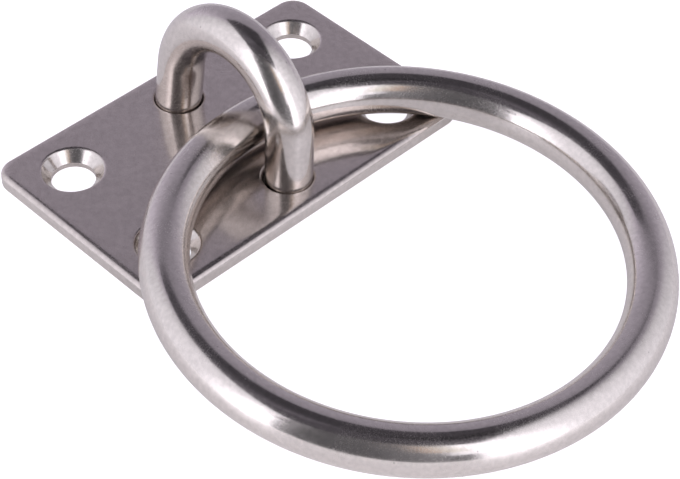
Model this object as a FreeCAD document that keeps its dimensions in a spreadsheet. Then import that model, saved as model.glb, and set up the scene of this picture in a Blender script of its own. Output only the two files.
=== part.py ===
import FreeCAD, Part
import Sketcher
import math
import os

# A mooring ring: a flat plate that is screwed down, a staple of round bar whose legs go
# through the plate and are welded behind it, and a closed round ring that swings in the
# staple's eye.
#
# Millimetres. The origin is the middle of the plate's back face. +Z points out of the face
# that shows, +Y runs along the plate, and +X is the side over which the ring lies at rest.

# Driving sizes: each is a cell of the sheet named Sizes.
SIZES = {
    # plate
    "plateWidth": 42.0,
    "plateLength": 68.5,
    "plateThickness": 2.8,
    "cornerRadius": 3.6,
    "topEdgeRound": 0.8,
    "backEdgeRound": 0.5,
    # four countersunk screw holes, each set in from the plate's two nearest edges, with rims
    # softened by the polishing
    "screwInsetX": 9.25,
    "screwInsetY": 9.5,
    "screwHoleDiameter": 7.4,
    "countersinkDiameter": 10.6,
    "countersinkAngle": 80.0,
    "countersinkRimRound": 0.75,
    # staple: each leg meets the plate's top face set in from the long edge and splays outward
    # below the arch, and the whole staple leans toward +Y
    "stapleBar": 8.0,
    "legInset": 7.4,
    "archCentreHeight": 6.9,
    "legSplayAngle": 3.3,
    "stapleLeanAngle": 4.3,
    # drilled holes for the legs: a close land in front, whose rim is rounded, and a wider bore
    # behind it, bevelled for the weld, because the legs run through the plate at a slant
    "legLandClearance": 0.1,
    "legLandDepth": 1.0,
    "legBoreClearance": 0.35,
    "legHoleRound": 0.6,
    "weldBevel": 1.0,
    "weldCover": 0.5,
    # ring
    "ringBar": 8.0,
    "ringInnerDiameter": 68.0,
    "ringLegGap": 1.5,
    "ringSlide": -1.3,
    "restGap": 0.2,
}

# Worked sizes: formulas over the driving ones, kept in the sheet named Worked.
WORKED = {
    "screwX": "Sizes.plateWidth / 2 - Sizes.screwInsetX",
    "screwY": "Sizes.plateLength / 2 - Sizes.screwInsetY",
    "legX": "Sizes.plateWidth / 2 - Sizes.legInset",
    "legLandRadius": "Sizes.stapleBar / 2 + Sizes.legLandClearance",
    "legBoreRadius": "Sizes.stapleBar / 2 + Sizes.legBoreClearance",
    "legDepth": "Sizes.plateThickness - Sizes.weldCover",
    # radius of the bar's centre line over the arch, so that the splayed legs reach their spacing
    "archRadius": "legX * cos(Sizes.legSplayAngle)"
                  " - Sizes.archCentreHeight * sin(Sizes.legSplayAngle)",
    "crownHeight": "Sizes.archCentreHeight + archRadius",
    "ringRadius": "(Sizes.ringInnerDiameter + Sizes.ringBar) / 2",
    # centre of the ring's bar where it passes through the eye
    "ringEyeX": "legX - Sizes.stapleBar / 2 - Sizes.ringLegGap - Sizes.ringBar / 2",
    # the ring lies on the plate's rounded edge, with its far side down at the level of the back
    "edgeX": "Sizes.plateWidth / 2 - Sizes.topEdgeRound",
    "edgeZ": "Sizes.plateThickness - Sizes.topEdgeRound",
    "edgeReach": "Sizes.ringBar / 2 + Sizes.topEdgeRound + Sizes.restGap",
    "edgeDrop": "Sizes.ringBar / 2 - edgeZ",
    "flatRun": "ringEyeX + 2 * ringRadius - edgeX",
    "firstTilt": "asin(edgeReach / hypot(flatRun; edgeDrop)) - atan2(edgeDrop; flatRun)",
    "tiltedRun": "ringEyeX + 2 * ringRadius * cos(firstTilt) - edgeX",
    "restTilt": "asin(edgeReach / hypot(tiltedRun; edgeDrop)) - atan2(edgeDrop; tiltedRun)",
    "ringX": "ringEyeX + ringRadius * cos(restTilt)",
    "ringZ": "Sizes.ringBar / 2 + ringRadius * sin(restTilt)",
}


def fillSheet(document, name, cells):
    sheet = document.addObject("Spreadsheet::Sheet", name)
    for row, (alias, content) in enumerate(cells.items(), start=1):
        sheet.set(f"A{row}", alias)
        sheet.set(f"B{row}", content)
        sheet.setAlias(f"B{row}", alias)
    document.recompute()
    return sheet


def makeBody(document, label):
    body = document.addObject("PartDesign::Body", label)
    body.Label = label
    return body


def originFeature(body, role):
    for feature in body.Origin.OriginFeatures:
        if feature.Role == role:
            return feature
    raise ValueError(f"{body.Label} has no {role}")


def makeSketch(body, name, planeRole, heightFormula=None):
    sketch = body.newObject("Sketcher::SketchObject", name)
    sketch.AttachmentSupport = (originFeature(body, planeRole), [""])
    sketch.MapMode = "FlatFace"
    if heightFormula:
        sketch.setExpression("AttachmentOffset.Base.z", heightFormula)
    return sketch


# In a sketch's constraints, geometry -1 is the horizontal axis, with the origin as its point 1,
# and -2 is the vertical axis. Points 1, 2 and 3 of a piece are its start, end and centre.
def bindConstraint(sketch, name, formula, *constraint):
    """Adds a named constraint whose value follows a formula over the sheets."""
    sketch.addConstraint(Sketcher.Constraint(*constraint))
    sketch.renameConstraint(sketch.ConstraintCount - 1, name)
    sketch.setExpression(f"Constraints.{name}", formula)


def circleAt(x, y, radius):
    return Part.Circle(FreeCAD.Vector(x, y, 0), FreeCAD.Vector(0, 0, 1), radius)


def edgeNames(shape, test):
    return [f"Edge{number}" for number, edge in enumerate(shape.Edges, start=1) if test(edge)]


def liesAt(edge, height):
    return all(math.isclose(vertex.Z, height, abs_tol=1e-6) for vertex in edge.Vertexes)


def dressEdges(body, kind, name, base, test, sizeProperty, formula):
    """Adds a Fillet or Chamfer on the edges of the base feature that pass the test."""
    feature = body.newObject(f"PartDesign::{kind}", name)
    feature.Base = (base, edgeNames(base.Shape, test))
    feature.setExpression(sizeProperty, formula)
    body.Document.recompute()
    return feature


def sketchPlateOutline(plate, sizes):
    halfWidth = sizes.plateWidth / 2
    halfLength = sizes.plateLength / 2
    corners = [
        FreeCAD.Vector(-halfWidth, -halfLength, 0),
        FreeCAD.Vector(halfWidth, -halfLength, 0),
        FreeCAD.Vector(halfWidth, halfLength, 0),
        FreeCAD.Vector(-halfWidth, halfLength, 0),
    ]
    outline = makeSketch(plate, "PlateOutline", "XY_Plane")
    for side in range(4):
        outline.addGeometry(Part.LineSegment(corners[side], corners[(side + 1) % 4]))
    for side in range(4):
        outline.addConstraint(Sketcher.Constraint("Coincident", side, 2, (side + 1) % 4, 1))
        direction = "Horizontal" if side % 2 == 0 else "Vertical"
        outline.addConstraint(Sketcher.Constraint(direction, side))
    outline.addConstraint(Sketcher.Constraint("Symmetric", 0, 1, 1, 2, -1, 1))
    bindConstraint(outline, "width", "Sizes.plateWidth", "DistanceX", 0, 1, 0, 2, sizes.plateWidth)
    bindConstraint(outline, "length", "Sizes.plateLength", "DistanceY", 1, 1, 1, 2, sizes.plateLength)
    return outline


def sketchScrewHoles(plate, sizes, worked):
    """Four equal circles, each the mirror image of the first."""
    x = worked.screwX
    y = worked.screwY
    radius = sizes.screwHoleDiameter / 2
    holes = makeSketch(plate, "ScrewHoles", "XY_Plane", "Sizes.plateThickness")
    for signX, signY in ((1, 1), (-1, 1), (1, -1), (-1, -1)):
        holes.addGeometry(circleAt(signX * x, signY * y, radius))
    holes.addConstraint(Sketcher.Constraint("Symmetric", 0, 3, 1, 3, -2))
    holes.addConstraint(Sketcher.Constraint("Symmetric", 0, 3, 2, 3, -1))
    holes.addConstraint(Sketcher.Constraint("Symmetric", 1, 3, 3, 3, -1))
    for other in (1, 2, 3):
        holes.addConstraint(Sketcher.Constraint("Equal", 0, other))
    bindConstraint(holes, "x", "Worked.screwX", "DistanceX", -1, 1, 0, 3, x)
    bindConstraint(holes, "y", "Worked.screwY", "DistanceY", -1, 1, 0, 3, y)
    bindConstraint(holes, "radius", "Sizes.screwHoleDiameter / 2", "Radius", 0, radius)
    return holes


def sketchLegHoles(plate, worked, name, radiusFormula, radius):
    """Two equal circles on the plate's back, one for each leg."""
    x = worked.legX
    holes = makeSketch(plate, name, "XY_Plane")
    holes.addGeometry(circleAt(x, 0, radius))
    holes.addGeometry(circleAt(-x, 0, radius))
    holes.addConstraint(Sketcher.Constraint("PointOnObject", 0, 3, -1))
    holes.addConstraint(Sketcher.Constraint("Symmetric", 0, 3, 1, 3, -2))
    holes.addConstraint(Sketcher.Constraint("Equal", 0, 1))
    bindConstraint(holes, "x", "Worked.legX", "DistanceX", -1, 1, 0, 3, x)
    bindConstraint(holes, "radius", radiusFormula, "Radius", 0, radius)
    return holes


def makeBasePlate(document, sizes, worked):
    """Flat plate with round corners and rolled edges, countersunk at its four corners."""
    plate = makeBody(document, "base_plate")
    top = sizes.plateThickness

    blank = plate.newObject("PartDesign::Pad", "PlateBlank")
    blank.Profile = sketchPlateOutline(plate, sizes)
    blank.setExpression("Length", "Sizes.plateThickness")
    document.recompute()

    def isUpright(edge):
        return not liesAt(edge, top) and not liesAt(edge, 0)

    def isOnTop(edge):
        return liesAt(edge, top)

    def isOnBack(edge):
        return liesAt(edge, 0)

    corners = dressEdges(plate, "Fillet", "RoundCorners", blank, isUpright, "Radius", "Sizes.cornerRadius")
    front = dressEdges(plate, "Fillet", "FrontEdge", corners, isOnTop, "Radius", "Sizes.topEdgeRound")
    dressEdges(plate, "Fillet", "BackEdge", front, isOnBack, "Radius", "Sizes.backEdgeRound")

    screws = plate.newObject("PartDesign::Hole", "CountersunkHoles")
    screws.Profile = sketchScrewHoles(plate, sizes, worked)
    document.recompute()
    screws.DepthType = "ThroughAll"
    screws.ThreadType = "None"
    screws.HoleCutType = "Countersink"
    screws.setExpression("Diameter", "Sizes.screwHoleDiameter")
    screws.setExpression("HoleCutDiameter", "Sizes.countersinkDiameter")
    screws.setExpression("HoleCutCountersinkAngle", "Sizes.countersinkAngle")
    document.recompute()

    def isCountersinkRim(edge):
        return len(edge.Vertexes) == 1 and liesAt(edge, top)

    dressEdges(plate, "Fillet", "CountersinkRims", screws, isCountersinkRim, "Radius",
                "Sizes.countersinkRimRound")

    lands = plate.newObject("PartDesign::Pocket", "LegLands")
    lands.Profile = sketchLegHoles(plate, worked, "LandCircles", "Worked.legLandRadius",
                                   worked.legLandRadius)
    lands.Type = "ThroughAll"
    lands.Reversed = True
    document.recompute()

    bores = plate.newObject("PartDesign::Pocket", "LegBores")
    bores.Profile = sketchLegHoles(plate, worked, "BoreCircles", "Worked.legBoreRadius",
                                   worked.legBoreRadius)
    bores.Reversed = True
    bores.setExpression("Length", "Sizes.plateThickness - Sizes.legLandDepth")
    document.recompute()

    def isLegHoleRim(edge):
        return len(edge.Vertexes) == 1 and abs(edge.BoundBox.Center.y) < worked.legBoreRadius

    def isFrontRim(edge):
        return isLegHoleRim(edge) and liesAt(edge, top)

    def isBackRim(edge):
        return isLegHoleRim(edge) and liesAt(edge, 0)

    rims = dressEdges(plate, "Fillet", "LegHoleRims", bores, isFrontRim, "Radius", "Sizes.legHoleRound")
    dressEdges(plate, "Chamfer", "LegHoleBevels", rims, isBackRim, "Size", "Sizes.weldBevel")
    return plate


def sketchStaplePath(staple, sizes, worked):
    """Half of the bar's centre line: from the crown over the arch and down one splayed leg."""
    splay = math.radians(sizes.legSplayAngle)
    radius = worked.archRadius
    centre = FreeCAD.Vector(0, sizes.archCentreHeight, 0)
    spring = centre + FreeCAD.Vector(radius * math.cos(splay), radius * math.sin(splay), 0)
    fall = spring.y + worked.legDepth
    foot = spring + FreeCAD.Vector(fall * math.tan(splay), -fall, 0)

    path = makeSketch(staple, "StaplePath", "XZ_Plane")
    wholeCircle = circleAt(centre.x, centre.y, radius)
    path.addGeometry(Part.ArcOfCircle(wholeCircle, splay, math.pi / 2))
    path.addGeometry(Part.LineSegment(spring, foot))
    path.addConstraint(Sketcher.Constraint("Tangent", 0, 1, 1, 1))
    path.addConstraint(Sketcher.Constraint("PointOnObject", 0, 3, -2))
    path.addConstraint(Sketcher.Constraint("PointOnObject", 0, 2, -2))
    bindConstraint(path, "centre", "Sizes.archCentreHeight", "DistanceY", -1, 1, 0, 3, centre.y)
    bindConstraint(path, "radius", "Worked.archRadius", "Radius", 0, radius)
    bindConstraint(path, "footX", "Worked.legX + Worked.legDepth * tan(Sizes.legSplayAngle)",
                   "DistanceX", -1, 1, 1, 2, foot.x)
    bindConstraint(path, "footDepth", "Worked.legDepth", "DistanceY", 1, 2, -1, 1, worked.legDepth)
    return path


def sketchBarSection(body, name, planeRole, along, formula, distance, barFormula, bar):
    """A circle of the bar's diameter whose centre lies on a sketch axis, a distance out."""
    onAxis, off = (-1, "DistanceX") if along == "x" else (-2, "DistanceY")
    place = (distance, 0) if along == "x" else (0, distance)
    section = makeSketch(body, name, planeRole)
    section.addGeometry(circleAt(*place, bar / 2))
    section.addConstraint(Sketcher.Constraint("PointOnObject", 0, 3, onAxis))
    bindConstraint(section, "distance", formula, off, -1, 1, 0, 3, distance)
    bindConstraint(section, "barSize", barFormula, "Diameter", 0, bar)
    return section


def makeStaple(document, sizes, worked):
    """One bent bar. It is swept from the crown down one leg, and mirrored for the other."""
    staple = makeBody(document, "staple")
    path = sketchStaplePath(staple, sizes, worked)
    section = sketchBarSection(staple, "StapleSection", "YZ_Plane", "y", "Worked.crownHeight",
                               worked.crownHeight, "Sizes.stapleBar", sizes.stapleBar)
    document.recompute()

    half = staple.newObject("PartDesign::AdditivePipe", "HalfStaple")
    half.Profile = section
    half.Spine = (path, ["Edge1", "Edge2"])
    document.recompute()

    whole = staple.newObject("PartDesign::Mirrored", "WholeStaple")
    whole.Originals = [half]
    whole.MirrorPlane = (originFeature(staple, "YZ_Plane"), [""])
    staple.Tip = whole
    lean = "rotation(vector(1; 0; 0); -Sizes.stapleLeanAngle * 1 deg)"
    staple.setExpression("Placement", f"placement(vector(0; 0; Sizes.plateThickness); {lean})")
    document.recompute()
    return staple


def makeStapleWelds(document, staple):
    """Two weld fills, each in a leg hole's bevel and over the leg's end, ground flush behind."""
    fills = []
    for side, sign in (("Near", ""), ("Far", "-")):
        fill = document.addObject("Part::Cone", f"WeldFill{side}")
        fill.setExpression("Radius1", "Worked.legBoreRadius + Sizes.weldBevel")
        fill.setExpression("Radius2", "Worked.legBoreRadius")
        fill.setExpression("Height", "Sizes.weldBevel")
        fill.setExpression("Placement.Base.x", f"{sign}Worked.legX")
        fills.append(fill)
    pair = document.addObject("Part::Compound", "WeldFills")
    pair.Links = fills
    welds = document.addObject("Part::Cut", "staple_welds")
    welds.Base = pair
    welds.Tool = staple
    welds.Label = "staple_welds"
    document.recompute()
    return welds


def makeRing(document, sizes, worked):
    """A closed ring of round bar, laid over the plate's edge with its far side down."""
    ring = makeBody(document, "ring")
    section = sketchBarSection(ring, "RingSection", "XZ_Plane", "x", "Worked.ringRadius",
                               worked.ringRadius, "Sizes.ringBar", sizes.ringBar)
    turn = ring.newObject("PartDesign::Revolution", "RingTurn")
    turn.Profile = section
    turn.ReferenceAxis = (section, ["V_Axis"])
    turn.Angle = 360
    centre = "vector(Worked.ringX; Sizes.ringSlide; Worked.ringZ)"
    tilt = "rotation(vector(0; 1; 0); Worked.restTilt)"
    ring.setExpression("Placement", f"placement({centre}; {tilt})")
    document.recompute()
    return ring


def checkModel(document, subParts):
    for item in document.Objects:
        if "Invalid" in item.State or "Error" in item.State:
            raise RuntimeError(f"{item.Label} failed: {item.State}")
    for part in subParts:
        if part.Shape.isNull() or not part.Shape.isValid():
            raise RuntimeError(f"{part.Label} has no valid shape")


def printSummary(worked, subParts):
    for part in subParts:
        box = part.Shape.BoundBox
        print(f"{part.Label}: {len(part.Shape.Solids)} solid, volume {part.Shape.Volume:.1f},"
              f" x {box.XMin:.2f}..{box.XMax:.2f}, y {box.YMin:.2f}..{box.YMax:.2f},"
              f" z {box.ZMin:.2f}..{box.ZMax:.2f}")
    print(f"ring centre {worked.ringX:.4f}, {worked.ringZ:.4f}, tilt {worked.restTilt}")


def main():
    document = FreeCAD.newDocument("MooringRing")
    sizes = fillSheet(document, "Sizes", {name: str(value) for name, value in SIZES.items()})
    worked = fillSheet(document, "Worked", {name: f"={formula}" for name, formula in WORKED.items()})

    plate = makeBasePlate(document, sizes, worked)
    staple = makeStaple(document, sizes, worked)
    welds = makeStapleWelds(document, staple)
    ring = makeRing(document, sizes, worked)
    subParts = [plate, staple, welds, ring]

    document.recompute()
    checkModel(document, subParts)
    os.makedirs("parts", exist_ok=True)
    for part in subParts:
        part.Shape.exportStep(f"parts/{part.Label}.step")
    printSummary(worked, subParts)


main()
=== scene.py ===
import math

import bmesh
import bpy
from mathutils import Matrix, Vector


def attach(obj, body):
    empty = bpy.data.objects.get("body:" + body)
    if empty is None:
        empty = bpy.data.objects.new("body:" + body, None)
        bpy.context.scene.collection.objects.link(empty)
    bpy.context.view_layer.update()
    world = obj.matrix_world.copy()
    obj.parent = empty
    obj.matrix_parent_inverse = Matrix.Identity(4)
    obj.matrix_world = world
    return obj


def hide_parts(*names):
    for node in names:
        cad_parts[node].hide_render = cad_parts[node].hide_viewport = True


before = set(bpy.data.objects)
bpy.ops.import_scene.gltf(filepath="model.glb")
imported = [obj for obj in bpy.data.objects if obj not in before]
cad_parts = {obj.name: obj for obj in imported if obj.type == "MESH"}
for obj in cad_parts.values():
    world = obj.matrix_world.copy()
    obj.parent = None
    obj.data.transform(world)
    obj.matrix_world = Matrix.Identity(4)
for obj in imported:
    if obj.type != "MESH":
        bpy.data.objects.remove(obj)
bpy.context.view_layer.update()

print("frame loaded:", ", ".join(sorted(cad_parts)))

mm = 0.001                # Blender works in metres, the shapes below are given in millimetres
mergeWithin = 0.001 * mm  # points nearer to each other than this become one
flatNormal = 0.9          # a face counts as flat when its normal points at least this much up or down


def selectNothing():
    bpy.ops.object.select_all(action="DESELECT")


def takeUp(piece):
    selectNothing()
    piece.select_set(True)
    bpy.context.view_layer.objects.active = piece


def startEdit(piece):
    takeUp(piece)
    bpy.ops.object.mode_set(mode="EDIT")
    bpy.ops.mesh.select_mode(type="FACE")
    bpy.ops.mesh.select_all(action="DESELECT")


def stopEdit():
    bpy.ops.object.mode_set(mode="OBJECT")


def pick(piece, kind, test):
    # selects the points, edges or faces whose place or normal passes the test
    bpy.ops.mesh.select_mode(type=kind)
    bpy.ops.mesh.select_all(action="DESELECT")
    mesh = bmesh.from_edit_mesh(piece.data)
    for part in {"VERT": mesh.verts, "EDGE": mesh.edges, "FACE": mesh.faces}[kind]:
        if test(part):
            part.select_set(True)
    bmesh.update_edit_mesh(piece.data)


def drawRing(x, y, fromRing, toRing):
    # draws the picked ring of a (radius, height) up or down to the next, round an upright line, all in mm
    bpy.ops.mesh.extrude_region_move(TRANSFORM_OT_translate={"value": (0, 0, (toRing[1] - fromRing[1]) * mm)})
    grow = toRing[0] / fromRing[0]
    bpy.ops.transform.resize(value=(grow, grow, 1.0), center_override=(x * mm, y * mm, toRing[1] * mm))


def settle(piece, name):
    # the finished mesh carries the place, the object itself stays at the origin
    takeUp(piece)
    bpy.ops.object.transform_apply(location=True, rotation=True, scale=True)
    piece.name = name
    piece.data.name = name


def cleanMesh(piece):
    startEdit(piece)
    bpy.ops.mesh.select_all(action="SELECT")
    bpy.ops.mesh.remove_doubles(threshold=mergeWithin)
    bpy.ops.mesh.normals_make_consistent(inside=False)
    stopEdit()


def smoothMesh(piece, degrees):
    # smooth all over, except where two faces meet at more than this angle
    takeUp(piece)
    bpy.ops.object.shade_smooth_by_angle(angle=math.radians(degrees))


def addNode(tree, kind, **values):
    node = tree.nodes.new(kind)
    for key, value in values.items():
        setattr(node, key, value)
    return node


def addRange(tree, fromRange, toRange, **values):
    node = addNode(tree, "ShaderNodeMapRange", **values)
    for socket, value in zip(("From Min", "From Max", "To Min", "To Max"), (*fromRange, *toRange)):
        node.inputs[socket].default_value = value
    return node


def emptyMaterial(name):
    material = bpy.data.materials.new(name)
    material.use_nodes = True
    material.node_tree.nodes.clear()
    return material, material.node_tree


# The camera stands in front of the ring and looks down on it, as in the photograph.
cameraShape = {
    "place": (0.18832, -0.16769, 0.22672),   # m
    "turnDegrees": (45.4287, -1.2277, 45.3264),
    "lens": 106.44,
    "sensor": 36.0,
    "clipStart": 0.01,
}


def standCamera():
    bpy.ops.object.camera_add(location=cameraShape["place"])
    camera = bpy.context.object
    camera.name = "photoCamera"
    camera.rotation_euler = [math.radians(a) for a in cameraShape["turnDegrees"]]
    camera.data.lens = cameraShape["lens"]
    camera.data.sensor_width = cameraShape["sensor"]
    camera.data.clip_start = cameraShape["clipStart"]
    bpy.context.scene.camera = camera


standCamera()
print("camera stands")

# A light tent stands round the part: four glowing walls, a dim ceiling, and a dark opening at the camera
# with a bright edge on each side. The camera doesn't see it. Directions are degrees from +X towards +Y,
# lengths are in metres.
tent = {
    "turn": 48.0,            # direction of the right wall; the others stand square to it
    "right": 0.336,          # how far each wall stands from the middle
    "left": 0.408,
    "front": 0.360,
    "back": 0.576,
    "height": 0.77,
    "strongest": 3.6,        # light at which a colour ramp holds 1
    "sideTint": (1.03, 1.01, 1.12),
    "backTint": (1.03, 0.955, 1.15),
    "backFrom": 85.0,        # the back tint is for directions beyond this
    "backBelow": 0.8,        # where the light is less than this
    # direction, the light there, and how much of it is lost at the top of the wall
    "wallStops": [
        (-180.0, 0.75, 0.41), (-165.0, 0.87, 0.20), (-150.0, 0.98, 0.08), (-134.0, 1.12, 0.06),
        (-118.0, 1.12, 0.08), (-111.0, 1.46, 0.28), (-104.0, 2.0, 0.48), (-98.0, 3.2, 0.66),
        (-87.6, 3.0, 0.66), (-84.9, 0.42, 0.0), (-75.0, 0.13, 0.0), (-52.0, 0.125, 0.0),
        (-38.0, 0.21, 0.0), (-25.5, 0.34, 0.0), (-23.0, 1.38, 0.05), (-16.0, 1.6, 0.12),
        (-10.0, 2.7, 0.46), (0.0, 2.7, 0.46), (6.0, 2.0, 0.25), (12.0, 1.5, 0.10), (16.0, 1.22, 0.08),
        (32.0, 1.14, 0.06), (46.0, 1.04, 0.16), (70.0, 0.79, 0.32), (90.0, 0.54, 0.52),
        (106.0, 0.43, 0.31), (155.0, 0.47, 0.26), (172.0, 0.65, 0.38), (180.0, 0.75, 0.41),
    ],
    "ceilingTint": (1.03, 0.95, 1.16),
    # direction and the light there
    "ceilingStops": [
        (-180.0, 0.074), (-125.0, 0.16), (-100.0, 0.10), (-50.0, 0.072), (-15.0, 0.07), (5.0, 0.13),
        (30.0, 0.03), (80.0, 0.032), (100.0, 0.066), (138.0, 0.054), (180.0, 0.074),
    ],
    # from and to which direction, from and to which height, and the light
    "cards": {
        "doorFlap": (-26.0, -17.5, 0.0, 0.14, (0.14, 0.14, 0.154, 1.0)),
        "warmStrip": (-32.0, -24.5, 0.24, 0.62, (0.68, 0.51, 0.43, 1.0)),
        "softEdge": (-24.5, -16.5, 0.24, 0.62, (1.08, 1.04, 1.00, 1.0)),
        "topEdge": (-25.5, -15.0, 0.62, 0.76, (0.42, 0.40, 0.40, 1.0)),
        "darkEdge": (-89.4, -82.5, 0.40, 0.76, (0.25, 0.24, 0.27, 1.0)),
    },
    "cardGap": 0.004,        # between a card and the front wall
}


def glowAround(name, stops):
    # light that changes with the direction round the part; the ramp's alpha is the loss with height
    material, tree = emptyMaterial(name)
    link = tree.links.new
    place = addNode(tree, "ShaderNodeTexCoord")
    around = addNode(tree, "ShaderNodeTexGradient", gradient_type="RADIAL")
    ramp = addNode(tree, "ShaderNodeValToRGB")
    light = addNode(tree, "ShaderNodeEmission")
    out = addNode(tree, "ShaderNodeOutputMaterial")
    parts = addNode(tree, "ShaderNodeSeparateXYZ")
    rise = addNode(tree, "ShaderNodeMath", operation="DIVIDE")
    rise.inputs[1].default_value = tent["height"]
    loss = addNode(tree, "ShaderNodeMath", operation="MULTIPLY")
    kept = addNode(tree, "ShaderNodeMath", operation="SUBTRACT")
    kept.inputs[0].default_value = 1.0
    strength = addNode(tree, "ShaderNodeMath", operation="MULTIPLY")
    strength.inputs[1].default_value = tent["strongest"]
    elements = ramp.color_ramp.elements
    while len(elements) < len(stops):
        elements.new(0.5)
    for element, (angle, level, fade, tint) in zip(elements, stops):
        element.position = (angle + 180.0) / 360.0
        element.color = [level * part / tent["strongest"] for part in tint] + [fade]
    link(place.outputs["Object"], around.inputs["Vector"])
    link(around.outputs["Fac"], ramp.inputs["Fac"])
    link(place.outputs["Object"], parts.inputs["Vector"])
    link(parts.outputs["Z"], rise.inputs[0])
    link(rise.outputs[0], loss.inputs[0])
    link(ramp.outputs["Alpha"], loss.inputs[1])
    link(loss.outputs[0], kept.inputs[1])
    link(kept.outputs[0], strength.inputs[0])
    link(strength.outputs[0], light.inputs["Strength"])
    link(ramp.outputs["Color"], light.inputs["Color"])
    link(light.outputs["Emission"], out.inputs["Surface"])
    return material


def plainGlow(name, colour):
    material, tree = emptyMaterial(name)
    light = addNode(tree, "ShaderNodeEmission")
    light.inputs["Color"].default_value = colour
    out = addNode(tree, "ShaderNodeOutputMaterial")
    tree.links.new(light.outputs["Emission"], out.inputs["Surface"])
    return material


def wallTint(angle, level):
    isBack = abs(angle) > tent["backFrom"] and level < tent["backBelow"]
    return tent["backTint" if isBack else "sideTint"]


def hangCard(name, fromAngle, toAngle, low, high, material):
    # an upright card just inside the tent's front wall, between two directions
    turn = math.radians(tent["turn"] - 90.0)
    reach = tent["front"] - tent["cardGap"]
    sides = [reach * math.tan(math.radians(angle) - turn) for angle in (fromAngle, toAngle)]
    forward = Vector((math.cos(turn), math.sin(turn), 0.0))
    sideways = Vector((-math.sin(turn), math.cos(turn), 0.0))
    selectNothing()
    bpy.ops.mesh.primitive_plane_add(size=1.0, rotation=(math.pi / 2, 0, turn + math.pi / 2),
                                     location=forward * reach + sideways * sum(sides) / 2
                                     + Vector((0, 0, (low + high) / 2)))
    card = bpy.context.object
    card.scale = (sides[1] - sides[0], high - low, 1.0)
    settle(card, name)
    card.data.materials.append(material)
    return card


# The white table under the part. It glows so that it stays white to the camera; in the metal its glow is a
# painted pool of light, brighter towards the opening of the tent, where more light falls in. Lengths are in
# metres.
floorShape = {
    "size": 3.0,
    "place": (0.03, 0.0, -0.0001),   # just under the part
    "colour": (0.61, 0.59, 0.61, 1.0),
    "roughness": 0.30,
    "glowTint": (0.995, 0.975, 1.03, 1.0),
    "glowToCamera": 0.95,
    "glowBehind": 0.26,
    "glowInFront": 0.585,
    "glowTurn": -50.0,               # direction of the opening
    "glowFrom": 0.040,               # the glow grows between these distances in that direction
    "glowTo": 0.120,
}


def floorMaterial():
    material, tree = emptyMaterial("whiteTable")
    link = tree.links.new
    s = floorShape
    paint = addNode(tree, "ShaderNodeBsdfPrincipled")
    paint.inputs["Base Color"].default_value = s["colour"]
    paint.inputs["Roughness"].default_value = s["roughness"]
    glow = addNode(tree, "ShaderNodeEmission")
    glow.inputs["Color"].default_value = s["glowTint"]
    path = addNode(tree, "ShaderNodeLightPath")
    seen = addNode(tree, "ShaderNodeMath", operation="MAXIMUM")
    metal = addNode(tree, "ShaderNodeMath", operation="MULTIPLY")
    place = addNode(tree, "ShaderNodeTexCoord")
    turned = addNode(tree, "ShaderNodeMapping", vector_type="TEXTURE")
    turned.inputs["Rotation"].default_value = (0.0, 0.0, math.radians(s["glowTurn"]))
    along = addNode(tree, "ShaderNodeSeparateXYZ")
    # the glow that the metal sees is a painted pool of light, growing towards the opening
    forward = addRange(tree, (s["glowFrom"], s["glowTo"]), (s["glowBehind"], s["glowInFront"]),
                       interpolation_type="SMOOTHSTEP")
    camera = addNode(tree, "ShaderNodeMath", operation="MULTIPLY")
    camera.inputs[1].default_value = s["glowToCamera"]
    share = addNode(tree, "ShaderNodeMath", operation="ADD")
    both = addNode(tree, "ShaderNodeAddShader")
    out = addNode(tree, "ShaderNodeOutputMaterial")
    link(place.outputs["Object"], turned.inputs["Vector"])
    link(turned.outputs["Vector"], along.inputs["Vector"])
    link(along.outputs["X"], forward.inputs["Value"])
    link(forward.outputs["Result"], metal.inputs[1])
    link(path.outputs["Is Glossy Ray"], seen.inputs[0])
    link(path.outputs["Is Transmission Ray"], seen.inputs[1])
    link(seen.outputs[0], metal.inputs[0])
    link(path.outputs["Is Camera Ray"], camera.inputs[0])
    link(metal.outputs[0], share.inputs[0])
    link(camera.outputs[0], share.inputs[1])
    link(share.outputs[0], glow.inputs["Strength"])
    link(paint.outputs[0], both.inputs[0])
    link(glow.outputs[0], both.inputs[1])
    link(both.outputs[0], out.inputs["Surface"])
    return material


# Two soft lamps in front, one on each side of the camera. They light the table only: the metal mirrors
# the bright edges of the tent's opening, which hang behind them. Lengths are in metres.
lamps = {
    "sides": {"leftLamp": -102.0, "rightLamp": -4.0},   # directions, degrees from +X towards +Y
    "reach": 0.33,
    "height": 0.24,
    "width": 0.12,
    "tall": 0.24,
    "power": 0.24,   # W
}


def hangLamps():
    for name, angle in lamps["sides"].items():
        turn = math.radians(angle)
        place = Vector((lamps["reach"] * math.cos(turn), lamps["reach"] * math.sin(turn), lamps["height"]))
        selectNothing()
        bpy.ops.object.light_add(type="AREA", location=place,
                                 rotation=(-place).to_track_quat("-Z", "Y").to_euler())
        lamp = bpy.context.object
        lamp.name = name
        lamp.data.shape = "RECTANGLE"
        lamp.data.size = lamps["width"]
        lamp.data.size_y = lamps["tall"]
        lamp.data.energy = lamps["power"]
        lamp.visible_camera = False
        lamp.visible_glossy = False


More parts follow.
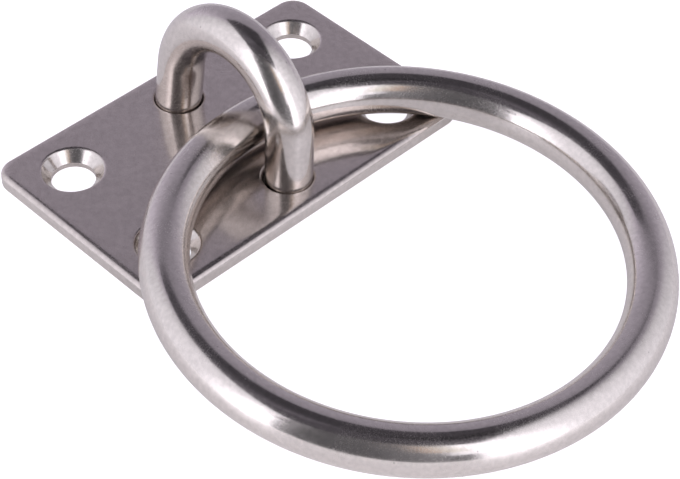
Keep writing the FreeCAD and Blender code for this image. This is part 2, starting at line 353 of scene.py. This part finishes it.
def roomWorld():
    # white behind everything that the camera or the metal sees past the table's end
    world = bpy.data.worlds.new("whiteRoom")
    bpy.context.scene.world = world
    world.use_nodes = True
    tree = world.node_tree
    tree.nodes.clear()
    link = tree.links.new
    back = addNode(tree, "ShaderNodeBackground")
    path = addNode(tree, "ShaderNodeLightPath")
    seen = addNode(tree, "ShaderNodeMath", operation="MAXIMUM")
    seenThrough = addNode(tree, "ShaderNodeMath", operation="MAXIMUM")
    out = addNode(tree, "ShaderNodeOutputWorld")
    link(path.outputs["Is Camera Ray"], seen.inputs[0])
    link(path.outputs["Is Glossy Ray"], seen.inputs[1])
    link(seen.outputs[0], seenThrough.inputs[0])
    link(path.outputs["Is Transmission Ray"], seenThrough.inputs[1])
    link(seenThrough.outputs[0], back.inputs["Strength"])
    link(back.outputs[0], out.inputs["Surface"])


def standStage():
    selectNothing()
    bpy.ops.mesh.primitive_plane_add(size=floorShape["size"], location=floorShape["place"])
    floor = bpy.context.object
    settle(floor, "whiteTable")
    floor.data.materials.append(floorMaterial())

    # the tent is a box without its bottom, turned inside out
    selectNothing()
    width = tent["right"] + tent["left"]
    depth = tent["front"] + tent["back"]
    turn = math.radians(tent["turn"])
    alongA = (tent["right"] - tent["left"]) / 2
    alongB = (tent["back"] - tent["front"]) / 2
    middle = (alongA * math.cos(turn) - alongB * math.sin(turn),
              alongA * math.sin(turn) + alongB * math.cos(turn),
              tent["height"] / 2)
    bpy.ops.mesh.primitive_cube_add(size=1.0, location=middle, rotation=(0, 0, turn),
                                    scale=(width, depth, tent["height"]))
    walls = bpy.context.object
    settle(walls, "lightTent")
    startEdit(walls)
    pick(walls, "FACE", lambda face: face.normal.z < -flatNormal)
    bpy.ops.mesh.delete(type="FACE")
    bpy.ops.mesh.select_all(action="SELECT")
    bpy.ops.mesh.flip_normals()
    stopEdit()
    wallStops = [(angle, level, loss, wallTint(angle, level)) for angle, level, loss in tent["wallStops"]]
    ceilingStops = [(angle, level, 0.0, tent["ceilingTint"]) for angle, level in tent["ceilingStops"]]
    walls.data.materials.append(glowAround("tentWalls", wallStops))
    walls.data.materials.append(glowAround("tentCeiling", ceilingStops))
    for face in walls.data.polygons:
        face.material_index = 1 if face.normal.z < -flatNormal else 0
    cards = [hangCard(name, fromAngle, toAngle, low, high, plainGlow(name + "Cloth", light))
             for name, (fromAngle, toAngle, low, high, light) in tent["cards"].items()]
    for card in [walls] + cards:
        card.visible_camera = False
        card.visible_shadow = False
    hangLamps()
    roomWorld()
    bpy.context.scene.view_settings.view_transform = "Standard"


standStage()
print("light tent stands")

# Polished stainless steel: warm grey, with the fine orange-peel and the dull specks that tumbling leaves.
steelLook = {
    "barColour": (0.652, 0.611, 0.573),
    "plateColour": (0.609, 0.556, 0.521),
    # each finish: its roughness, how much duller the finest pits make it, how much lighter and darker its
    # grain is, and how many times deeper its orange-peel is than the bar's
    "bar": (0.15, 0.08, 0.07, 1.0),
    "plate": (0.11, 0.24, 0.10, 1.0),
    "sink": (0.16, 0.08, 0.10, 1.0),
    "back": (0.28, 0.24, 0.10, 4.0),
    "weld": (0.36, 0.08, 0.10, 3.0),
    # each pattern: its size in mm, how many finer patterns lie in it, and between which heights it counts
    "grain": (0.8, 4.0, (0.3, 0.7)),
    "specks": (0.28, 3.0, (0.3, 0.7)),
    "haze": (6.0, 2.0, (0.35, 0.65)),
    "pits": (0.07, 0.0, (0.50, 0.60)),
    "speckShare": 0.045,         # of the roughness
    "hazeShare": 0.03,
    "dentSpacing": 3.0,          # of the few tiny dents, whose shade is painted dark into the colour, mm
    "dentEdge": (0.028, 0.05),   # a dent's floor and its rim, of that spacing
    "dentShade": 0.55,
    "peelDepth": 0.0015,         # mm
}


def addPattern(tree, place, pattern, low, high):
    # a noise, and the same noise spread out between two values
    size, detail, heights = pattern
    noise = addNode(tree, "ShaderNodeTexNoise")
    noise.inputs["Scale"].default_value = 1.0 / (size * mm)
    noise.inputs["Detail"].default_value = detail
    spread = addRange(tree, heights, (low, high))
    tree.links.new(place.outputs["Object"], noise.inputs["Vector"])
    tree.links.new(noise.outputs["Fac"], spread.inputs["Value"])
    return noise, spread


def steelMaterial(name, colour, roughness, dull, depth, peel):
    material = bpy.data.materials.new(name)
    material.use_nodes = True
    tree = material.node_tree
    link = tree.links.new
    s = steelLook
    shader = tree.nodes["Principled BSDF"]
    shader.inputs["Metallic"].default_value = 1.0
    place = addNode(tree, "ShaderNodeTexCoord")

    # the colour is lighter and darker with the grain, and painted shade makes it darkest in the dents
    _, shade = addPattern(tree, place, s["grain"], 1.0 - depth, 1.0 + depth)
    dent = addNode(tree, "ShaderNodeTexVoronoi")
    dent.inputs["Scale"].default_value = 1.0 / (s["dentSpacing"] * mm)
    dentPaintedShade = addRange(tree, s["dentEdge"], (s["dentShade"], 1.0))
    grainAndDentShade = addNode(tree, "ShaderNodeMath", operation="MULTIPLY")
    tinted = addNode(tree, "ShaderNodeVectorMath", operation="SCALE")
    tinted.inputs[0].default_value = colour
    link(place.outputs["Object"], dent.inputs["Vector"])
    link(dent.outputs["Distance"], dentPaintedShade.inputs["Value"])
    link(shade.outputs["Result"], grainAndDentShade.inputs[0])
    link(dentPaintedShade.outputs["Result"], grainAndDentShade.inputs[1])
    link(grainAndDentShade.outputs[0], tinted.inputs["Scale"])
    link(tinted.outputs["Vector"], shader.inputs["Base Color"])

    # the roughness is the sum of the specks, the haze and the finest pits
    speck, fine = addPattern(tree, place, s["specks"], roughness - s["speckShare"],
                             roughness + s["speckShare"])
    _, soft = addPattern(tree, place, s["haze"], -s["hazeShare"], s["hazeShare"])
    _, pitted = addPattern(tree, place, s["pits"], 0.0, dull)
    total = addNode(tree, "ShaderNodeMath", operation="ADD")
    rough = addNode(tree, "ShaderNodeMath", operation="ADD")
    link(fine.outputs["Result"], total.inputs[0])
    link(soft.outputs["Result"], total.inputs[1])
    link(total.outputs[0], rough.inputs[0])
    link(pitted.outputs["Result"], rough.inputs[1])
    link(rough.outputs[0], shader.inputs["Roughness"])

    # the orange-peel lies where the specks are
    bump = addNode(tree, "ShaderNodeBump")
    bump.inputs["Strength"].default_value = 1.0
    bump.inputs["Distance"].default_value = s["peelDepth"] * peel * mm
    link(speck.outputs["Fac"], bump.inputs["Height"])
    link(bump.outputs["Normal"], shader.inputs["Normal"])
    return material


barSteel = steelMaterial("polishedBarSteel", steelLook["barColour"], *steelLook["bar"])
plateSteel = steelMaterial("polishedPlateSteel", steelLook["plateColour"], *steelLook["plate"])
sinkSteel = steelMaterial("turnedSinkSteel", steelLook["barColour"], *steelLook["sink"])
backSteel = steelMaterial("groundBackSteel", steelLook["plateColour"], *steelLook["back"])
weldSteel = steelMaterial("groundWeldSteel", steelLook["barColour"], *steelLook["weld"])

# The ring: a bar section spun into a closed ring, which leans on the plate's edge.
ringShape = {
    "bar": 8.0,
    "inner": 68.0,
    "centre": (42.0521, -1.3, 5.9078),
    "tiltDegrees": 2.877782,
    "sides": 72,
    "steps": 216,
}


def modelRing():
    s = ringShape
    reach = (s["inner"] + s["bar"]) / 2
    tilt = math.radians(s["tiltDegrees"])
    centre = Vector(s["centre"]) * mm
    towardsEye = Vector((-math.cos(tilt), 0.0, math.sin(tilt)))
    selectNothing()
    bpy.ops.mesh.primitive_circle_add(vertices=s["sides"], radius=s["bar"] / 2 * mm,
                                      location=centre + towardsEye * reach * mm,
                                      rotation=(math.pi / 2, 0, 0))
    ring = bpy.context.object
    settle(ring, "hangingRing")
    startEdit(ring)
    bpy.ops.mesh.select_all(action="SELECT")
    bpy.ops.mesh.spin(steps=s["steps"], angle=2 * math.pi, center=centre,
                      axis=(math.sin(tilt), 0.0, math.cos(tilt)))
    stopEdit()
    cleanMesh(ring)
    takeUp(ring)
    bpy.ops.object.shade_smooth()
    ring.data.materials.append(barSteel)
    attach(ring, "ring")
    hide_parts("ring")
    return ring


hangingRing = modelRing()
print("ring spun:", len(hangingRing.data.polygons), "faces")

# The staple: a bar section drawn up one leg, spun over the arch and drawn down the other leg.
stapleShape = {
    "bar": 8.0,
    "onPlate": 2.8,            # height of the plate's face
    "archRadius": 13.18058,    # of the bar's centre line
    "archCentre": 6.9,         # above the plate's face
    "splayDegrees": 3.3,
    "leanDegrees": 4.3,
    "legDepth": 2.3,           # of a leg's end under the plate's face
    "sides": 72,
    "archSteps": 108,
    "legSteps": 6,
    "smoothDegrees": 40.0,
}


def drawLeg(step, steps):
    for _ in range(steps):
        bpy.ops.mesh.extrude_region_move(TRANSFORM_OT_translate={"value": step * mm})


def modelStaple():
    s = stapleShape
    splay = math.radians(s["splayDegrees"])
    lean = math.radians(s["leanDegrees"])
    upward = Vector((0.0, math.sin(lean), math.cos(lean)))
    across = Vector((1.0, 0.0, 0.0))
    base = Vector((0.0, 0.0, s["onPlate"]))
    centre = base + upward * s["archCentre"]
    spring = across * math.cos(splay) + upward * math.sin(splay)
    legRun = (s["archCentre"] + s["archRadius"] * math.sin(splay) + s["legDepth"]) / math.cos(splay)
    drawUp = -across * math.sin(splay) + upward * math.cos(splay)     # along the +X leg
    drawDown = -across * math.sin(splay) - upward * math.cos(splay)   # along the -X leg
    top = centre + spring * s["archRadius"]
    foot = top - drawUp * legRun
    turned = Vector((0, 0, 1)).rotation_difference(drawUp).to_euler()
    selectNothing()
    bpy.ops.mesh.primitive_circle_add(vertices=s["sides"], radius=s["bar"] / 2 * mm,
                                      location=foot * mm, rotation=turned)
    staple = bpy.context.object
    settle(staple, "stapleBar")
    startEdit(staple)
    bpy.ops.mesh.select_mode(type="EDGE")
    bpy.ops.mesh.select_all(action="SELECT")
    drawLeg(drawUp * legRun / s["legSteps"], s["legSteps"])
    bpy.ops.mesh.spin(steps=s["archSteps"], angle=math.pi - 2 * splay, center=centre * mm,
                      axis=upward.cross(across))
    drawLeg(drawDown * legRun / s["legSteps"], s["legSteps"])

    # the two open ends are closed
    bpy.ops.mesh.select_mode(type="EDGE")
    bpy.ops.mesh.select_all(action="DESELECT")
    bpy.ops.mesh.select_non_manifold(extend=False, use_wire=False, use_boundary=True,
                                     use_multi_face=False, use_non_contiguous=False, use_verts=False)
    bpy.ops.mesh.edge_face_add()
    stopEdit()
    cleanMesh(staple)
    smoothMesh(staple, s["smoothDegrees"])
    staple.data.materials.append(barSteel)
    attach(staple, "plate")
    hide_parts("staple")
    return staple


stapleBar = modelStaple()
print("staple bent:", len(stapleBar.data.polygons), "faces")

# The plate: a sheet with round corners, whose front edge rolls off softly, and six holes.
plateShape = {
    "width": 42.0,
    "length": 68.5,
    "thick": 2.8,
    "corner": 3.6,
    "cornerSteps": 14,
    "rollWidth": 1.9,        # of the soft roll-off beside the front edge
    "rollDrop": 1.0,
    "rollPower": 2.6,        # above 2 the roll-off starts more gently
    "rollSteps": 12,
    "backRound": 0.5,
    "backPower": 2.0,        # a plain round
    "backSteps": 5,
    "screwX": 11.75,
    "screwY": 24.75,
    "screwHole": 7.4,
    "sinkAcross": 10.6,
    "sinkHalfAngle": 40.0,
    "sinkRim": 0.75,         # round of the countersink's rim
    "sinkRimEnd": 86.0,      # how far the rim rounds over, degrees from upright
    "sinkRimSteps": 8,
    "legX": 13.6,
    "nearLegSlip": (-0.06, -0.14),   # the near leg's hole lies this far off its mark
    "legHole": 8.2,
    "legBore": 8.7,
    "legLand": 1.0,          # depth of the narrower front part of a leg's hole
    "landStep": 0.01,        # height of the step from the bore to it
    "legRim": 0.6,
    "legRimEnd": 84.0,
    "legRimSteps": 6,
    "weldBevel": 1.0,
    "rimRunOut": (0.3, 0.06),   # the cut leaves the rim this much wider and higher
    "cutPast": 1.0,          # how far a plug stands out of the plate
    "holeSides": 96,
    "smoothDegrees": 32.0,
    "smoothWeight": 90,      # how much the large flat faces count in the smoothing
    "sinkNormals": (0.55, 0.85),   # upward part of the normals on a countersink's cone
    "sideNormals": 0.45,     # a face counts as the plate's side below this
}


def rollProfile(width, drop, power, steps):
    # offsets inward and upward, from the upright side to the flat face
    points = []
    for step in range(steps + 1):
        angle = math.pi / 2 * step / steps
        inward = width * (1 - math.cos(angle) ** (2 / power))
        upward = drop * math.sin(angle) ** (2 / power)
        points.append((inward, upward))
    return points


def growInward(points):
    # each pair is an inset of the picked face and a step out of it
    for (inA, upA), (inB, upB) in zip(points, points[1:]):
        bpy.ops.mesh.inset(thickness=(inB - inA) * mm, depth=(upB - upA) * mm, use_even_offset=True)


def holeCutter(x, y, rings):
    # a turned plug: a circle drawn up through the given (radius, height) rings
    selectNothing()
    radius, height = rings[0]
    bpy.ops.mesh.primitive_circle_add(vertices=plateShape["holeSides"], radius=radius * mm,
                                      fill_type="NGON", location=(x * mm, y * mm, height * mm))
    plug = bpy.context.object
    settle(plug, "holePlug")
    startEdit(plug)
    bpy.ops.mesh.select_all(action="SELECT")
    for fromRing, toRing in zip(rings, rings[1:]):
        drawRing(x, y, fromRing, toRing)
    bpy.ops.mesh.select_all(action="SELECT")
    bpy.ops.mesh.normals_make_consistent(inside=False)
    stopEdit()
    return plug


def roundedMouth(sharpRadius, face, size, wallDegrees, endDegrees, steps):
    # rings of a rim that rounds over from a wall of the given slope almost to the flat face;
    # sharpRadius is where the wall's line would meet the face
    wall = math.radians(wallDegrees)
    rings = []
    tangent = size * math.tan((math.pi / 2 - wall) / 2)   # from that place to where the round ends
    middle = sharpRadius + tangent
    for step in range(steps + 1):
        slope = wall + (math.radians(endDegrees) - wall) * step / steps
        rings.append((middle - size * math.cos(slope), face - size + size * math.sin(slope)))
    wider, higher = plateShape["rimRunOut"]
    outside = rings[-1][0] + wider
    return rings + [(outside, face + higher), (outside, face + plateShape["cutPast"])]


def cutWith(piece, plug):
    takeUp(piece)
    cut = piece.modifiers.new("cut", "BOOLEAN")
    cut.operation = "DIFFERENCE"
    cut.solver = "EXACT"
    cut.object = plug
    bpy.ops.object.modifier_apply(modifier=cut.name)
    bpy.data.objects.remove(plug, do_unlink=True)


def legPlace(side):
    # where the leg's hole lies on the +X side (1), the near one, or on the -X side (-1)
    slipX, slipY = plateShape["nearLegSlip"] if side > 0 else (0.0, 0.0)
    return side * plateShape["legX"] + slipX, slipY


def modelPlate():
    s = plateShape
    thick = s["thick"]
    selectNothing()
    low = s["backRound"]
    high = thick - s["rollDrop"]
    bpy.ops.mesh.primitive_cube_add(size=1.0, location=(0, 0, (low + high) / 2 * mm),
                                    scale=(s["width"] * mm, s["length"] * mm, (high - low) * mm))
    plate = bpy.context.object
    settle(plate, "basePlate")
    startEdit(plate)
    upright = (high - low) / 2 * mm
    pick(plate, "EDGE", lambda edge: abs(edge.verts[0].co.z - edge.verts[1].co.z) > upright)
    bpy.ops.mesh.bevel(offset=s["corner"] * mm, segments=s["cornerSteps"], profile=0.5, affect="EDGES")
    pick(plate, "FACE", lambda face: face.normal.z > flatNormal)
    growInward(rollProfile(s["rollWidth"], s["rollDrop"], s["rollPower"], s["rollSteps"]))
    pick(plate, "FACE", lambda face: face.normal.z < -flatNormal)
    growInward(rollProfile(s["backRound"], s["backRound"], s["backPower"], s["backSteps"]))
    stopEdit()

    # four countersunk screw holes
    sinkRadius = s["sinkAcross"] / 2
    holeRadius = s["screwHole"] / 2
    mouth = roundedMouth(sinkRadius, thick, s["sinkRim"], s["sinkHalfAngle"], s["sinkRimEnd"],
                         s["sinkRimSteps"])
    sinkDepth = (mouth[0][0] - holeRadius) / math.tan(math.radians(s["sinkHalfAngle"]))
    rings = [(holeRadius, -s["cutPast"]), (holeRadius, mouth[0][1] - sinkDepth)] + mouth
    for signX in (1, -1):
        for signY in (1, -1):
            cutWith(plate, holeCutter(signX * s["screwX"], signY * s["screwY"], rings))

    # two stepped leg holes, with a bevel for the weld behind
    legRadius = s["legHole"] / 2
    boreRadius = s["legBore"] / 2
    landFoot = thick - s["legLand"]
    rings = [(boreRadius + s["weldBevel"] + s["cutPast"], -s["cutPast"]), (boreRadius, s["weldBevel"]),
             (boreRadius, landFoot), (legRadius, landFoot + s["landStep"])]
    rings += roundedMouth(legRadius, thick, s["legRim"], 0.0, s["legRimEnd"], s["legRimSteps"])
    for side in (1, -1):
        cutWith(plate, holeCutter(*legPlace(side), rings))
    cleanMesh(plate)
    smoothMesh(plate, s["smoothDegrees"])
    weigh = plate.modifiers.new("weigh", "WEIGHTED_NORMAL")
    weigh.keep_sharp = True
    weigh.weight = s["smoothWeight"]
    bpy.ops.object.modifier_apply(modifier=weigh.name)

    # the front is polished, the countersinks are turned, the back is ground, the sides are as the bar
    steels = [plateSteel, sinkSteel, backSteel, barSteel]
    for steel in steels:
        plate.data.materials.append(steel)
    coneLow, coneHigh = s["sinkNormals"]
    for face in plate.data.polygons:
        out = Vector((abs(face.center.x) / mm - s["screwX"], abs(face.center.y) / mm - s["screwY"]))
        inset = min(s["width"] / 2 - abs(face.center.x) / mm, s["length"] / 2 - abs(face.center.y) / mm)
        if out.length < sinkRadius and coneLow < face.normal.z < coneHigh:
            face.material_index = steels.index(sinkSteel)
        elif face.normal.z < -flatNormal:
            face.material_index = steels.index(backSteel)
        elif abs(face.normal.z) < s["sideNormals"] and inset < s["rollWidth"]:
            face.material_index = steels.index(barSteel)
    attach(plate, "plate")
    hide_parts("base_plate")
    return plate


basePlate = modelPlate()
print("plate cut:", len(basePlate.data.polygons), "faces")

# Behind the plate each leg's end is covered by a weld that fills the hole's bevel and is ground flush.
weldShape = {
    "outer": 5.35,          # where the bevel meets the plate's back
    "inner": 4.35,          # where it meets the bore
    "deep": 1.0,
    "legRadius": 4.0,
    "cover": 0.5,           # of weld over the leg's end
    "endTaper": 0.01,       # how much the weld narrows down the leg's side
    "rings": 14,
    "around": 144,
    "ripples": 20,
    "rippleFrom": 1.5,      # the ripples lie in a ring between these radii
    "rippleTo": 5.2,
    "rippleWidth": 0.6,     # of the spacing from one ripple to the next
    "rippleCurve": 0.7,     # how far a ripple's ends trail behind its middle
    "rippleSteps": 3,
    "rippleDepth": 0.09,
    "craterRadius": 1.2,
    "craterDepth": 0.12,
    "edgeWithin": 0.05,     # an edge this near to the outer radius is the weld's rim
    "smoothDegrees": 32.0,
}


def modelWeld(side):
    s = weldShape
    x, y = legPlace(side)
    selectNothing()
    bpy.ops.mesh.primitive_circle_add(vertices=s["around"], radius=s["outer"] * mm, fill_type="NGON",
                                      location=(x * mm, y * mm, 0))
    weld = bpy.context.object
    settle(weld, "stapleWeld")
    middle = Vector((x * mm, y * mm, 0))

    def fromMiddle(point):
        return (point.co - middle).to_2d().length / mm

    # rings over the back, down to a small flat middle
    startEdit(weld)
    bpy.ops.mesh.select_all(action="SELECT")
    spacing = (s["outer"] - s["craterRadius"]) / s["rings"]
    for _ in range(s["rings"]):
        bpy.ops.mesh.inset(thickness=spacing * mm, use_even_offset=True)
    bpy.ops.mesh.poke()

    # crescent ripples, deepest at their front, then the crater where the arc was broken off
    halfBand = (s["rippleTo"] - s["rippleFrom"]) / 2
    bandMiddle = (s["rippleTo"] + s["rippleFrom"]) / 2

    def isRipple(point, part):
        away = point.co - middle
        across = (away.to_2d().length / mm - bandMiddle) / halfBand
        turn = math.atan2(away.y, away.x) / (2 * math.pi) * s["ripples"]
        return abs(across) < 1 and (turn + s["rippleCurve"] * across ** 2) % 1.0 < s["rippleWidth"] * part

    for step in range(s["rippleSteps"]):
        pick(weld, "VERT", lambda point: isRipple(point, (step + 1) / s["rippleSteps"]))
        bpy.ops.transform.translate(value=(0, 0, s["rippleDepth"] / s["rippleSteps"] * mm))
    pick(weld, "VERT", lambda point: fromMiddle(point) < s["craterRadius"])
    bpy.ops.transform.translate(value=(0, 0, s["craterDepth"] * mm))

    # up the bevel, in to the leg, down its side and over its end
    pick(weld, "EDGE", lambda edge: min(map(fromMiddle, edge.verts)) > s["outer"] - s["edgeWithin"])
    rings = [(s["outer"], 0.0), (s["inner"], s["deep"]), (s["legRadius"], s["deep"]),
             (s["legRadius"] - s["endTaper"], s["cover"])]
    for fromRing, toRing in zip(rings, rings[1:]):
        drawRing(x, y, fromRing, toRing)
    bpy.ops.mesh.edge_face_add()
    stopEdit()
    cleanMesh(weld)
    smoothMesh(weld, s["smoothDegrees"])
    return weld


def modelWelds():
    left, right = modelWeld(-1), modelWeld(1)
    selectNothing()
    left.select_set(True)
    right.select_set(True)
    bpy.context.view_layer.objects.active = left
    bpy.ops.object.join()
    left.name = "stapleWelds"
    left.data.name = "stapleWelds"
    left.data.materials.append(weldSteel)
    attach(left, "plate")
    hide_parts("staple_welds")
    return left


stapleWelds = modelWelds()
print("welds laid:", len(stapleWelds.data.polygons), "faces")

# The CAD nodes, which the pieces above replace, are of the same steels.
for name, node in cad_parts.items():
    node.data.materials.clear()
    node.data.materials.append(weldSteel if name == "staple_welds" else barSteel)
